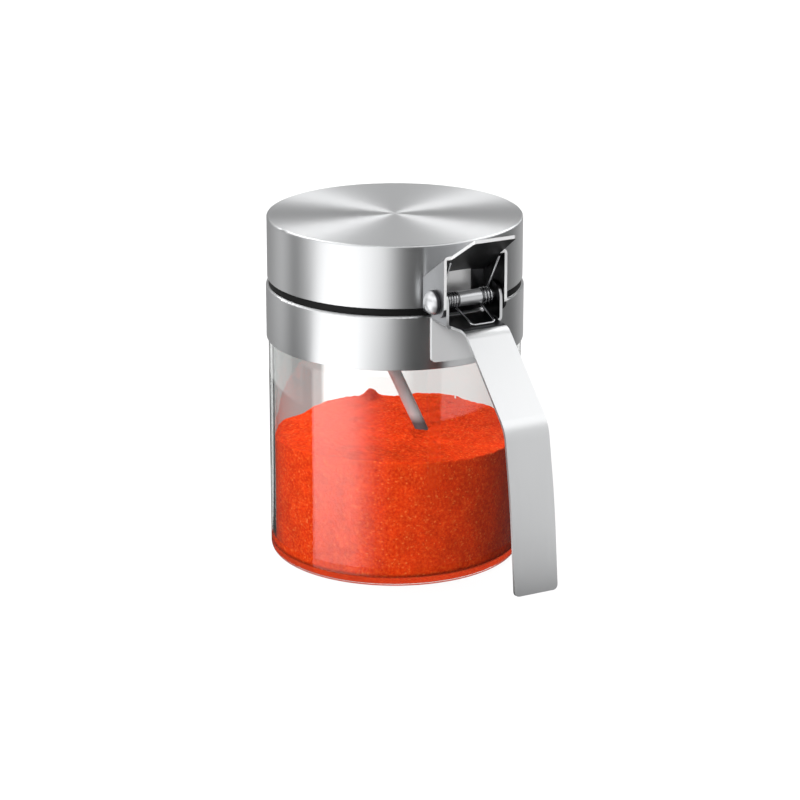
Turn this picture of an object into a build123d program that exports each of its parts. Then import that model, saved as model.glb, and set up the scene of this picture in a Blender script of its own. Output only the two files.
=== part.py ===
"""A glass spice jar with a screwed steel collar, a sprung lid, a side handle and a spoon.

Millimetres. The origin is the centre of the jar's base, +Z is up, and the handle points along +X.
"""
from build123d import *
from math import acos, asin, atan2, ceil, cos, hypot, pi, radians, sin, sqrt, tan
import os

os.makedirs("parts", exist_ok=True)

# The round body, from the table up
lid_diameter = 80.5
collar_diameter = 81.4
collar_base_height = 71.1
collar_height = 17.1
seal_height = 2.3
lid_height = 19.7
steel_sheet = 0.4
lid_edge_round = 0.6
sheet_edge_round = 0.15

# Glass jar
skirt_clearance = 0.25
glass_wall = 1.4
base_thickness = 2.4
heel_round = 2.2
inner_heel_round = 1.8
shoulder_rise = 4.9
shoulder_round = 3.6
shoulder_step = 7.05
neck_wall = 2.4
neck_root_round = 1.0
rim_round = 0.7

# Ground spice: a crown, a mound against the back and a hollow beside the spoon
fill_level = 39.3
fill_crown = 1.3
fill_clearance = 0.2
mound_radius = 8.0
mound_reach = 31.0
mound_turn = 166.0
mound_rise = 1.8
hollow_radius = 16.0
hollow_depth = 0.6
spoon_hole_clearance = 0.3

# Collar: steel skirt over a moulded ring, and the flat ring that seals on the glass
gasket_thickness = 1.0
gasket_side_gap = 0.3
ring_plate = 1.6
ring_wall = 1.6
ring_depth = 11.0
thread_depth = 1.2
insert_gap = 0.1

# Lid: steel cap over a moulded plug
liner_wall = 1.6
liner_top_gap = 0.5
plug_clearance = 1.6
plug_depth = 5.0
seal_inset = 0.4
seal_bore_gap = 0.3

# Hinge pin
pin_diameter = 3.0
pin_reach = 5.85
pin_rise = 3.8
running_clearance = 0.05
head_diameter = 7.5
head_rise = 2.6
head_rim = 0.8
tail_diameter = 5.2
tail_rise = 1.1
head_gap = 0.1

# Lid bracket: sloping web with the thumb tab, two outer ears and a back flange
bracket_sheet = 0.9
bracket_width = 21.7
bracket_fold_round = 1.3
web_slope = 32.5
web_root_rise = 11.75
outer_ear_reach = 11.55
outer_ear_drop = 4.45
outer_ear_round = 4.2
tab_reach = 23.15
tab_root_width = 16.4
tab_tip_width = 14.2
tab_corner_round = 0.8
notch_length = 0.8
flange_width = 11.4
flange_turn = -1.8
flange_length = 7.6

# Mount plate
mount_sheet = 0.9
mount_width = 17.7
mount_height = 14.5
mount_drop = 0.1
mount_corner_round = 1.2

# Handle: tray, inner ears and strip. Reaches are from the collar, leans from the point above
handle_sheet = 0.9
ear_side_gap = 0.3
ear_fold_round = 1.6
tray_drop = 0.4
inner_ear_reach = 10.5
inner_ear_round = 4.4
back_corner_share = 0.98
inner_ear_back_reach = 1.2
strip_width = 14.8
taper_reach = 15.1
tray_fold_reach = 18.0
tray_fold_round = 6.5
bend_reach = 42.4
bend_height = 63.9
bend_round = 11.0
upper_strip_lean = 4.2
upper_strip_drop = 22.9
middle_round = 240.0
lower_strip_lean = 2.7
lower_strip_drop = 27.1
end_corner_round = 1.6

# Spring and its sleeve
wire_diameter = 0.7
coil_mean_radius = 2.3
coil_gap = 0.15
left_turns = 6
right_turns = 4
sleeve_start = -3.2
sleeve_length = 7.6
sleeve_wall = 0.8
leg_side_gap = 0.1
leg_reach = 11.0
leg_web_gap = 0.2
loop_reach = 13.9
loop_left = -2.6
loop_right = 5.3
loop_corner_round = 1.3
loop_seat_gap = 0.05

# Spoon: where its stem meets the spice and where it meets the plug
spoon_foot_x = 7.9
spoon_foot_y = 5.2
spoon_foot_z = 41.2
spoon_head_x = -2.0
spoon_head_y = -12.2
stem_diameter = 3.9
stem_end_inset = 1.6
bowl_length = 12.4
bowl_radius = 4.2
bowl_wall = 0.7
bowl_start = -0.3

# Socket under the plug and its screw
holder_plate = 2.0
holder_width = 10.0
holder_spread = 11.0
holder_turn = 25.0
socket_diameter = 6.6
socket_length = 8.0
screw_diameter = 3.0
screw_length = 3.4
screw_head_diameter = 5.6
screw_head_height = 1.5
screw_slot_width = 0.8
screw_slot_depth = 0.6

# How far any cutting shape runs past what it cuts, and how near an edge must lie to count as a fold
overrun = 5.0
fold_tolerance = 0.001

# Places worked out from the sizes above
lid_radius = lid_diameter / 2
collar_radius = collar_diameter / 2
skirt_bore = collar_radius - steel_sheet
glass_radius = skirt_bore - skirt_clearance
glass_bore = glass_radius - glass_wall
neck_radius = glass_radius - shoulder_step
neck_bore = neck_radius - neck_wall
shoulder_z = collar_base_height + shoulder_rise
collar_top = collar_base_height + collar_height
lid_base = collar_top + seal_height
lid_top = lid_base + lid_height
ring_top = collar_top - steel_sheet
ring_underside = ring_top - ring_plate
rim_z = ring_underside - gasket_thickness
ring_bore = neck_radius + thread_depth
plug_radius = neck_bore - plug_clearance
plug_base = lid_base - plug_depth

pin_x = lid_radius + pin_reach
pin_z = lid_base + pin_rise
pin_radius = pin_diameter / 2
bracket_half = bracket_width / 2
outer_ear_inside = bracket_half - bracket_sheet
inner_ear_half = outer_ear_inside - ear_side_gap
inner_ear_inside = inner_ear_half - handle_sheet
tray_half = inner_ear_half - ear_fold_round
web_root_z = lid_base + web_root_rise
web_drop = bracket_sheet / cos(radians(web_slope))
tray_top = collar_top - tray_drop
strip_half = strip_width / 2
mount_face = collar_radius + mount_sheet
bend_x = collar_radius + bend_reach
middle_x = bend_x + upper_strip_lean
middle_z = bend_height - upper_strip_drop
end_x = middle_x + lower_strip_lean
end_z = middle_z - lower_strip_drop

wire_radius = wire_diameter / 2
leg_y = inner_ear_inside - leg_side_gap - wire_radius
sleeve_end = sleeve_start + sleeve_length
left_coil_end = sleeve_start - coil_gap - wire_radius
right_coil_start = sleeve_end + coil_gap + wire_radius

spoon_foot = Vector(spoon_foot_x, spoon_foot_y, spoon_foot_z)
spoon_head = Vector(spoon_head_x, spoon_head_y, plug_base)
spoon_up = (spoon_head - spoon_foot).normalized()
stem_length = (spoon_head - spoon_foot).length - stem_end_inset
neck_length = bowl_wall * 2 - bowl_start


def outline(*corners):
    """A closed flat outline. Each corner is (across, up, radius)."""
    points = [(across, up) for across, up, _ in corners]
    face = make_face(Polyline(*points, close=True))
    for across, up, radius in corners:
        if radius > 0:
            corner = face.vertices().sort_by_distance((across, up, 0))[0]
            face = fillet(corner, radius)
    return face


def turned(*corners):
    """A solid of revolution about the jar's axis. Corners are (radius, height, rounding)."""
    return revolve(Plane.XZ * outline(*corners), Axis.Z)


def side_slab(face, low_y, high_y):
    """A side view, drawn in X and Z, given its thickness from low_y to high_y."""
    return Pos(0, high_y, 0) * extrude(Plane.XZ * face, high_y - low_y)


def both_sides(solid):
    """A piece and its mirror image across the plane through the handle."""
    return solid + mirror(solid, Plane.XZ)


def cross_rod(x, z, radius, low_y, high_y):
    """A round rod along Y."""
    return side_slab(Pos(x, z) * Circle(radius), low_y, high_y)


def wall_piece(inner, outer, half_width, low_z, high_z, corner_round):
    """A rounded rectangle of a round wall, facing +X."""
    tube = Cylinder(outer, high_z - low_z) - Cylinder(inner, high_z - low_z)
    window = RectangleRounded(half_width * 2, high_z - low_z, corner_round)
    block = extrude(Plane.YZ * window, outer)
    return Pos(0, 0, (low_z + high_z) / 2) * (tube & block)


def glass_jar():
    inner_shoulder = shoulder_z - glass_wall
    return turned(
        (0, 0, 0),
        (glass_radius, 0, heel_round),
        (glass_radius, shoulder_z, shoulder_round),
        (neck_radius, shoulder_z, neck_root_round),
        (neck_radius, rim_z, rim_round),
        (neck_bore, rim_z, rim_round),
        (neck_bore, inner_shoulder, neck_root_round),
        (glass_bore, inner_shoulder, shoulder_round - glass_wall),
        (glass_bore, base_thickness, inner_heel_round),
        (0, base_thickness, 0),
    )


def spoon_plane():
    """The spoon's own frame: Z up the stem, and the back of the bowl towards +X."""
    back = Vector(1, 0, 0) - spoon_up * spoon_up.X
    return Plane(origin=spoon_foot, x_dir=back, z_dir=spoon_up)


def bowl_half(radius, top, bottom):
    """Half of a long round bowl, behind the plane through the stem."""
    middle = (top + bottom) / 2
    edge = ThreePointArc((0, bottom), (radius, middle), (0, top))
    face = make_face([edge, Line((0, top), (0, bottom))])
    return revolve(Plane.XZ * face, Axis.Z, 180, clean=True).rotate(Axis.Z, -90)


def spoon():
    bottom = bowl_start - bowl_length
    outer = bowl_half(bowl_radius, bowl_start, bottom)
    inner = bowl_half(bowl_radius - bowl_wall, bowl_start - bowl_wall * 2, bottom + bowl_wall * 2)
    stem = Cylinder(stem_diameter / 2, stem_length, align=(Align.CENTER, Align.CENTER, Align.MIN))
    neck = Pos(0, 0, -neck_length) * Cylinder(
        stem_diameter / 2, neck_length, align=(Align.CENTER, Align.CENTER, Align.MIN)
    )
    return spoon_plane() * ((outer - inner) + stem + neck)


def spoon_space():
    """The room that the spoon takes up in the spice, bowl and all."""
    gap = spoon_hole_clearance
    bottom = bowl_start - bowl_length
    face = make_face(
        [
            ThreePointArc(
                (0, bottom - gap),
                (bowl_radius + gap, (bowl_start + bottom) / 2),
                (0, bowl_start + gap),
            ),
            Line((0, bowl_start + gap), (0, bottom - gap)),
        ]
    )
    around = revolve(Plane.XZ * face, Axis.Z)
    stem = Pos(0, 0, -neck_length - gap) * Cylinder(
        stem_diameter / 2 + gap, stem_length, align=(Align.CENTER, Align.CENTER, Align.MIN)
    )
    return spoon_plane() * (around + stem)


def spice_fill():
    radius = glass_bore - fill_clearance
    floor = base_thickness + fill_clearance
    crown_z = fill_level + fill_crown
    ball = (radius**2 + fill_crown**2) / (2 * fill_crown)
    half_z = crown_z - ball + sqrt(ball**2 - (radius / 2) ** 2)
    top = ThreePointArc((radius, fill_level), (radius / 2, half_z), (0, crown_z))
    rest = Polyline((0, crown_z), (0, floor), (radius, floor), (radius, fill_level))
    face = make_face([top, *rest.edges()])
    heel = face.vertices().sort_by_distance((radius, floor, 0))[0]
    body = revolve(Plane.XZ * fillet(heel, inner_heel_round), Axis.Z)
    turn = radians(mound_turn)
    mound_z = crown_z + mound_rise - mound_radius
    mound = Pos(mound_reach * cos(turn), mound_reach * sin(turn), mound_z) * Sphere(mound_radius)
    inside = Pos(0, 0, floor + inner_heel_round) * Cylinder(
        radius, lid_top, align=(Align.CENTER, Align.CENTER, Align.MIN)
    )
    hollow_z = spoon_foot_z - hollow_depth + hollow_radius
    hollow = Pos(spoon_foot_x, spoon_foot_y, hollow_z) * Sphere(hollow_radius)
    return body + (mound & inside) - hollow - spoon_space()


def neck_gasket():
    bore = neck_bore + gasket_side_gap
    outside = ring_bore - gasket_side_gap
    return turned(
        (bore, rim_z, 0), (outside, rim_z, 0), (outside, ring_underside, 0), (bore, ring_underside, 0)
    )


def collar_shell():
    mouth = neck_bore + ring_wall
    return turned(
        (skirt_bore, collar_base_height, 0),
        (collar_radius, collar_base_height, sheet_edge_round),
        (collar_radius, collar_top, lid_edge_round),
        (mouth, collar_top, 0),
        (mouth, ring_top, 0),
        (skirt_bore, ring_top, 0),
    )


def thread_ring():
    outside = skirt_bore - insert_gap
    foot = ring_underside - ring_depth + ring_plate
    lip = neck_bore + ring_wall - insert_gap
    return turned(
        (ring_bore, foot, 0),
        (ring_bore + ring_wall, foot, 0),
        (ring_bore + ring_wall, ring_underside, 0),
        (outside - ring_wall, ring_underside, 0),
        (outside - ring_wall, foot, 0),
        (outside, foot, 0),
        (outside, ring_top, 0),
        (lip, ring_top, 0),
        (lip, collar_top, 0),
        (neck_bore, collar_top, 0),
        (neck_bore, ring_underside, 0),
        (ring_bore, ring_underside, 0),
    )


def mount_plate():
    top = collar_top - mount_drop
    return wall_piece(
        collar_radius, mount_face, mount_width / 2, top - mount_height, top, mount_corner_round
    )


def tray_channel(far_x):
    """The tray's folded section, two walls on a floor, from the jar's axis to far_x."""
    floor = tray_top - handle_sheet
    height = pin_z + inner_ear_round
    outside = outline(
        (-inner_ear_half, floor, ear_fold_round),
        (inner_ear_half, floor, ear_fold_round),
        (inner_ear_half, height, 0),
        (-inner_ear_half, height, 0),
    )
    inside = outline(
        (-inner_ear_inside, tray_top, ear_fold_round - handle_sheet),
        (inner_ear_inside, tray_top, ear_fold_round - handle_sheet),
        (inner_ear_inside, height, 0),
        (-inner_ear_inside, height, 0),
    )
    return extrude(Plane.YZ * (outside - inside), far_x)


def handle():
    points = [
        (collar_radius, tray_top),
        (collar_radius + tray_fold_reach, tray_top),
        (bend_x, bend_height),
        (middle_x, middle_z),
        (end_x, end_z),
    ]
    line = FilletPolyline(*points, radius=[tray_fold_round, bend_round, middle_round])
    section = make_face(line.wire().offset_2d(handle_sheet, side=Side.RIGHT))
    slab = side_slab(section, -inner_ear_half, inner_ear_half)

    ear_x = collar_radius + inner_ear_reach
    taper_x = collar_radius + taper_reach
    far_x = end_x + overrun
    plan = Polyline(
        (0, tray_half),
        (ear_x, tray_half),
        (taper_x, strip_half),
        (far_x, strip_half),
        (far_x, -strip_half),
        (taper_x, -strip_half),
        (ear_x, -tray_half),
        (0, -tray_half),
        close=True,
    )
    stamping = slab & extrude(make_face(plan), lid_top)
    end_face = stamping.faces().sort_by(Axis.Z)[0]
    stamping = fillet(end_face.edges().sort_by(SortBy.LENGTH)[:2], end_corner_round)

    back_x = collar_radius + inner_ear_back_reach
    floor = tray_top - handle_sheet
    ear = outline(
        (back_x, floor, 0),
        (ear_x, floor, 0),
        (ear_x, pin_z + inner_ear_round, inner_ear_round),
        (pin_x - inner_ear_round, pin_z + inner_ear_round, inner_ear_round * back_corner_share),
        (pin_x - inner_ear_round, pin_z, 0),
    )
    stamping += tray_channel(ear_x) & side_slab(ear, -inner_ear_half, inner_ear_half)
    stamping -= cross_rod(pin_x, pin_z, pin_radius, -bracket_half, bracket_half)
    return stamping - Cylinder(mount_face, lid_top * 3)


def dome_middle(diameter, rise):
    """Halfway up a dome: how far out from its axis, and how high above its flat side."""
    half = diameter / 2
    ball = (half**2 + rise**2) / (2 * rise)
    turn = asin(half / ball) / 2
    return ball * sin(turn), rise - ball + ball * cos(turn)


def hinge_pin():
    """A rivet along Y: a domed head with a rim at the near end and an upset tail at the far one."""
    seat = bracket_half + head_gap
    head_out, head_up = dome_middle(head_diameter, head_rise)
    tail_out, tail_up = dome_middle(tail_diameter, tail_rise)
    brim = -seat - head_rim
    head = ThreePointArc((0, brim - head_rise), (head_out, brim - head_up), (head_diameter / 2, brim))
    tail = ThreePointArc((tail_diameter / 2, seat), (tail_out, seat + tail_up), (0, seat + tail_rise))
    shank = Polyline(
        head @ 1, (head_diameter / 2, -seat), (pin_radius, -seat), (pin_radius, seat), tail @ 0
    )
    face = make_face([head, *shank.edges(), tail, Line(tail @ 1, head @ 0)])
    return Pos(pin_x, 0, pin_z) * revolve(face, Axis.Y)


def spring_sleeve():
    bore = pin_radius + running_clearance
    return cross_rod(pin_x, pin_z, bore + sleeve_wall, sleeve_start, sleeve_end) - cross_rod(
        pin_x, pin_z, bore, sleeve_start, sleeve_end
    )


def tangent_turn(x, z, clockwise):
    """The angle at which a straight leg from (x, z) meets the coil, seen from -Y."""
    away = atan2(z - pin_z, x - pin_x)
    open_angle = acos(coil_mean_radius / hypot(x - pin_x, z - pin_z))
    return away - open_angle if clockwise else away + open_angle


def coil_point(turn, y):
    return Vector(pin_x + coil_mean_radius * cos(turn), y, pin_z + coil_mean_radius * sin(turn))


def biarc(start, start_way, end, end_way):
    """Two arcs that join two points and keep the direction at both."""
    across = end - start
    bend = 2 * (1 - start_way.dot(end_way))
    lean = 2 * across.dot(start_way + end_way)
    reach = (-lean + sqrt(lean * lean + 4 * bend * across.dot(across))) / (2 * bend)
    first = start + start_way * reach
    last = end - end_way * reach
    middle = (first + last) * 0.5
    return [
        TangentArc(start, middle, tangent=start_way),
        TangentArc(middle, end, tangent=last - first),
    ]


def coil(start_turn, end_turn, start_y, end_y, start_way, end_way):
    """The arcs of a coil, a quarter turn at a time, between two given directions."""
    quarters = ceil(abs(end_turn - start_turn) / (pi / 2))
    step = (end_turn - start_turn) / quarters
    climb = (end_y - start_y) / quarters
    spin = 1 if step > 0 else -1
    stations = []
    for k in range(quarters + 1):
        turn = start_turn + step * k
        along = Vector(-sin(turn), 0, cos(turn)) * (spin * coil_mean_radius * abs(step))
        way = (along + Vector(0, climb, 0)).normalized()
        stations.append((coil_point(turn, start_y + climb * k), way))
    stations[0] = (stations[0][0], start_way)
    stations[-1] = (stations[-1][0], end_way)
    arcs = []
    for (here, here_way), (there, there_way) in zip(stations, stations[1:]):
        arcs += biarc(here, here_way, there, there_way)
    return arcs


def spring_path():
    """The wire's centre line: leg, coil, loop on the tray, coil, leg."""
    tip_x = lid_radius + leg_reach
    tip_z = web_line(tip_x) - web_drop - (wire_radius + leg_web_gap) / cos(radians(web_slope))
    loop_x = collar_radius + loop_reach
    loop_z = tray_top + wire_radius + loop_seat_gap
    leg_turn = tangent_turn(tip_x, tip_z, clockwise=False)
    loop_turn = tangent_turn(loop_x, loop_z, clockwise=True)

    left_tip = Vector(tip_x, -leg_y, tip_z)
    left_on = coil_point(leg_turn, -leg_y)
    left_off = coil_point(loop_turn, left_coil_end)
    right_on = coil_point(loop_turn, right_coil_start)
    right_off = coil_point(leg_turn, leg_y)
    right_tip = Vector(tip_x, leg_y, tip_z)
    left_corner = Vector(loop_x, loop_left, loop_z)
    right_corner = Vector(loop_x, loop_right, loop_z)

    loop = FilletPolyline(left_off, left_corner, right_corner, right_on, radius=loop_corner_round)
    down = (left_corner - left_off).normalized()
    up = (right_on - right_corner).normalized()
    left_coil = coil(
        leg_turn,
        loop_turn + 2 * pi * left_turns,
        -leg_y,
        left_coil_end,
        (left_on - left_tip).normalized(),
        down,
    )
    right_coil = coil(
        loop_turn,
        leg_turn - 2 * pi * right_turns,
        right_coil_start,
        leg_y,
        up,
        (right_tip - right_off).normalized(),
    )
    edges = [Line(left_tip, left_on), *left_coil, *loop.edges(), *right_coil, Line(right_off, right_tip)]
    return Wire(edges)


def least_gap(path):
    """The smallest space between two stretches of the wire that aren't neighbours."""
    count = int(path.length / (wire_diameter / 2))
    points = [path.position_at(k / count) for k in range(count + 1)]
    skip = ceil(wire_diameter * 4 / (path.length / count))
    gaps = []
    for i, here in enumerate(points):
        for there in points[i + skip :]:
            gaps.append((there - here).length)
    return min(gaps) - wire_diameter


def torsion_spring():
    path = spring_path()
    print("spring wire length", round(path.length, 1), "least gap to itself", round(least_gap(path), 2))
    start = Plane(origin=path @ 0, z_dir=path % 0)
    return sweep(start * Circle(wire_radius), path=path)


def lid_shell():
    bore = lid_radius - steel_sheet
    under = lid_top - steel_sheet
    return turned(
        (0, lid_top, 0),
        (lid_radius, lid_top, lid_edge_round),
        (lid_radius, lid_base, sheet_edge_round),
        (bore, lid_base, 0),
        (bore, under, lid_edge_round - steel_sheet),
        (0, under, 0),
    )


def lid_liner():
    outside = lid_radius - steel_sheet - insert_gap
    top = lid_top - steel_sheet - liner_top_gap
    plate = lid_base + liner_wall
    return turned(
        (0, plug_base, 0),
        (plug_radius, plug_base, rim_round),
        (plug_radius, lid_base, 0),
        (outside, lid_base, 0),
        (outside, top, 0),
        (outside - liner_wall, top, 0),
        (outside - liner_wall, plate, 0),
        (plug_radius - liner_wall, plate, 0),
        (plug_radius - liner_wall, plug_base + liner_wall, 0),
        (0, plug_base + liner_wall, 0),
    ) - screw_place(-holder_plate - overrun, screw_length) * Cylinder(
        screw_diameter / 2, holder_plate + overrun + screw_length
    )


def lid_seal():
    bore = plug_radius + seal_bore_gap
    outside = lid_radius - seal_inset
    return turned(
        (bore, collar_top, 0), (outside, collar_top, 0), (outside, lid_base, 0), (bore, lid_base, 0)
    )


def web_line(x):
    """The height of the web's upper face at x."""
    return web_root_z + (x - lid_radius) * tan(radians(web_slope))


def lid_bracket():
    ear_x = lid_radius + outer_ear_reach
    tip_x = lid_radius + tab_reach
    back_x = sqrt(lid_radius**2 - bracket_half**2) - overrun
    web = outline(
        (back_x, web_line(back_x), 0),
        (tip_x, web_line(tip_x), 0),
        (tip_x, web_line(tip_x) - web_drop, 0),
        (back_x, web_line(back_x) - web_drop, 0),
    )
    notch_x = ear_x + notch_length
    root = tab_root_width / 2
    tip = tab_tip_width / 2
    plan = outline(
        (back_x, bracket_half, 0),
        (ear_x, bracket_half, 0),
        (ear_x, root, 0),
        (notch_x, root, 0),
        (tip_x, tip, tab_corner_round),
        (tip_x, -tip, tab_corner_round),
        (notch_x, -root, 0),
        (ear_x, -root, 0),
        (ear_x, -bracket_half, 0),
        (back_x, -bracket_half, 0),
    )
    plate = side_slab(web, -bracket_half, bracket_half) & extrude(plan, lid_top + lid_height)

    ear_z = pin_z - outer_ear_drop
    ear = outline(
        (back_x, ear_z, 0),
        (ear_x, ear_z, outer_ear_round),
        (ear_x, web_line(ear_x), 0),
        (back_x, web_line(back_x), 0),
    )
    ears = both_sides(side_slab(ear, outer_ear_inside, bracket_half))
    flange_top = web_line(lid_radius + bracket_sheet)
    flange = Rot(0, 0, flange_turn) * wall_piece(
        lid_radius,
        lid_radius + bracket_sheet,
        flange_width / 2,
        flange_top - bracket_sheet - flange_length,
        flange_top - bracket_sheet / 2,
        bracket_sheet / 2,
    )
    bracket = plate + ears + flange
    folds = bracket.edges().filter_by(
        lambda e: abs(abs(e.center().Y) - bracket_half) < fold_tolerance
        and abs(e.center().Z - web_line(e.center().X)) < fold_tolerance
    )
    bracket = fillet(folds, bracket_fold_round)
    bore = pin_radius + running_clearance
    bracket -= cross_rod(pin_x, pin_z, bore, -bracket_half, bracket_half)
    return bracket - Cylinder(lid_radius, lid_top * 3)


def screw_place(low, high):
    """Where the holder's screw stands, centred between two heights above the plug's face."""
    turn = radians(holder_turn)
    return Pos(
        spoon_head_x + holder_spread * cos(turn),
        spoon_head_y + holder_spread * sin(turn),
        plug_base + (low + high) / 2,
    )


def spoon_holder():
    middle = Pos(
        (spoon_head_x + screw_place(0, 0).position.X) / 2,
        (spoon_head_y + screw_place(0, 0).position.Y) / 2,
        plug_base - holder_plate,
    )
    foot = SlotCenterToCenter(holder_spread, holder_width)
    plate = middle * Rot(0, 0, holder_turn) * extrude(foot, holder_plate)
    socket = spoon_plane() * Pos(0, 0, stem_length + stem_end_inset) * Cylinder(
        socket_diameter / 2, socket_length * 2
    )
    below = Pos(0, 0, plug_base) * Box(
        lid_diameter, lid_diameter, lid_height, align=(Align.CENTER, Align.CENTER, Align.MAX)
    )
    stem = spoon_plane() * Cylinder(
        stem_diameter / 2, stem_length, align=(Align.CENTER, Align.CENTER, Align.MIN)
    )
    hole = screw_place(-holder_plate, 0) * Cylinder(screw_diameter / 2, holder_plate)
    return plate + (socket & below) - stem - hole


def holder_screw():
    shank = screw_place(-holder_plate, screw_length - holder_plate) * Cylinder(
        screw_diameter / 2, screw_length
    )
    head_low = -holder_plate - screw_head_height
    head = screw_place(head_low, -holder_plate) * Cylinder(screw_head_diameter / 2, screw_head_height)
    head = fillet(head.edges().sort_by(Axis.Z)[0], screw_slot_depth)
    slot = screw_place(head_low - screw_slot_depth, head_low + screw_slot_depth) * Box(
        screw_head_diameter * 2, screw_slot_width, screw_slot_depth * 2
    )
    return shank + head - slot


nodes = {
    "glass_jar": glass_jar,
    "spice_fill": spice_fill,
    "neck_gasket": neck_gasket,
    "collar_shell": collar_shell,
    "thread_ring": thread_ring,
    "mount_plate": mount_plate,
    "handle": handle,
    "hinge_pin": hinge_pin,
    "spring_sleeve": spring_sleeve,
    "torsion_spring": torsion_spring,
    "lid_shell": lid_shell,
    "lid_liner": lid_liner,
    "lid_seal": lid_seal,
    "lid_bracket": lid_bracket,
    "spoon_holder": spoon_holder,
    "holder_screw": holder_screw,
    "spoon": spoon,
}

for name, make in nodes.items():
    export_step(make(), f"parts/{name}.step")
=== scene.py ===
# %% [markdown]
# # A glass spice jar with a sprung steel lid
# The jar stands on the table. A collar screws on its neck and carries the handle, and the lid turns on a
# rivet above it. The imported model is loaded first, as a frame that nothing may move, and everything after it
# is fitted to that frame. Lengths are in metres, as Blender has them, so a small factor turns millimetres
# into them and keeps the numbers readable.

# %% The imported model, as a fixed frame
import math

import bmesh
import bpy
from mathutils import Matrix, Vector, noise


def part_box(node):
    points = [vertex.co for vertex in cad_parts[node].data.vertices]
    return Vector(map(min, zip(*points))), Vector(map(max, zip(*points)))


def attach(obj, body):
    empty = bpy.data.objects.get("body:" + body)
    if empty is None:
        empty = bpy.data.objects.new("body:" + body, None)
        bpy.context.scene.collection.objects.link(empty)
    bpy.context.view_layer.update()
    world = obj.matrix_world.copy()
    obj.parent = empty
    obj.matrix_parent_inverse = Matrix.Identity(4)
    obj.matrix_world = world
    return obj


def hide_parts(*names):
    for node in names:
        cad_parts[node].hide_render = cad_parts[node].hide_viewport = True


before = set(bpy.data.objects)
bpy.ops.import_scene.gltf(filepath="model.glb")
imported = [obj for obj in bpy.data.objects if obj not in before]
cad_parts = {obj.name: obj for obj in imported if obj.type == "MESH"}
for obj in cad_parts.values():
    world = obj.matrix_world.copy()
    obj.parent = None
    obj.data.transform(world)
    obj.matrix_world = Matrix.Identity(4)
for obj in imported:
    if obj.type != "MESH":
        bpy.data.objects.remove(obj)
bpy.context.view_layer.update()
MM = 0.001

# %% [markdown]
# ## The camera
# The photograph looks down on the jar by 18 degrees, with the handle to the right of the middle. A long lens
# from 0.9 m flattens the ovals of the lid just as much as they are there. The focal length, the distance and
# the height below are those at which the edges of the lid, the collar and the jar fall where they should.

# %% The camera at the photograph's angle
camera_turn = math.radians(62)
camera_dip = math.radians(17.97)
camera_distance = 890 * MM
camera_height = 337.3 * MM
camera_aside = 1.63 * MM
image_width = 800
focal_pixels = 2925
sensor_width = 36

camera_right = Vector((math.cos(camera_turn), math.sin(camera_turn), 0))
camera_side = Vector((math.sin(camera_turn), -math.cos(camera_turn), 0))
camera_data = bpy.data.cameras.new("camera")
camera_data.sensor_width = sensor_width
camera_data.lens = sensor_width * focal_pixels / image_width
camera = bpy.data.objects.new("camera", camera_data)
camera.location = camera_right * camera_aside + camera_side * camera_distance + Vector((0, 0, camera_height))
camera.rotation_euler = (math.pi / 2 - camera_dip, 0, camera_turn)
bpy.context.scene.collection.objects.link(camera)
bpy.context.scene.camera = camera
bpy.context.scene.view_settings.view_transform = "Standard"
print("camera at", [round(c, 3) for c in camera.location], "lens", round(camera_data.lens, 1))

# %% [markdown]
# ## Small helpers
# Hex codes are how a designer notes a colour, but Blender works in linear light, so one function turns one
# into the other. One function adds a node with its settings and links, one starts a material, one turns a
# bmesh into an object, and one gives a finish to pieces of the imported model.

# %% Helpers for colours, nodes and meshes
def linear(code):
    """The linear colour of an sRGB hex code such as C8CACC."""
    parts = [int(code[k : k + 2], 16) / 255 for k in (0, 2, 4)]
    return (*[p / 12.92 if p <= 0.04045 else ((p + 0.055) / 1.055) ** 2.4 for p in parts], 1)


def add(tree, kind, inputs=None, stops=(), **settings):
    """Adds a node: inputs are values or sockets, settings its properties, stops a ramp's (place, colour)."""
    made = tree.nodes.new("ShaderNode" + kind)
    for name, value in settings.items():
        setattr(made, name, value)
    for name, value in (inputs or {}).items():
        if isinstance(value, bpy.types.NodeSocket):
            tree.links.new(value, made.inputs[name])
        else:
            made.inputs[name].default_value = value
    if stops:
        band = made.color_ramp.elements
        while len(band) < len(stops):
            band.new(1)
        for element, (place, colour) in zip(band, stops):
            element.position = place
            element.color = colour
    return made


def start_material(name):
    """A new material with nothing but its output."""
    made = bpy.data.materials.new(name)
    made.use_nodes = True
    made.node_tree.nodes.clear()
    return made, made.node_tree, add(made.node_tree, "OutputMaterial")


def object_from(bm, name, material=None, smooth=True):
    """A bmesh made into an object that stands at the origin."""
    mesh = bpy.data.meshes.new(name)
    bm.to_mesh(mesh)
    bm.free()
    made = bpy.data.objects.new(name, mesh)
    bpy.context.scene.collection.objects.link(made)
    if material:
        mesh.materials.append(material)
    if smooth:
        mesh.shade_smooth()
    else:
        mesh.shade_flat()
    return made


def finish_nodes(material, *names):
    """Gives CAD nodes a material, in the slots of their objects."""
    for name in names:
        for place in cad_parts[name].material_slots:
            place.material = material
    print(material.name, "on", ", ".join(names))


print("half grey in linear light", round(linear("808080")[0], 3))

# %% [markdown]
# ## The floor and the studio
# A product shot on white has a pale table and a large soft lamp. What makes steel look like steel is what
# stands around it, out of the picture: white cards for the bright bands and dark ones for the dark bands.
# The floor's paint is grey, so that it throws little light back up at the jar, and it still takes the jar's
# shadow. A glow that only the camera and the glass see lifts it to white. Reflections see the cards instead.

# %% A pale floor and a white surround
WHITE = (1, 1, 1, 1)
camera_lift = 0.84
sky_strength = 0.15
floor_half = 6
floor_drop = 0.1 * MM

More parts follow.
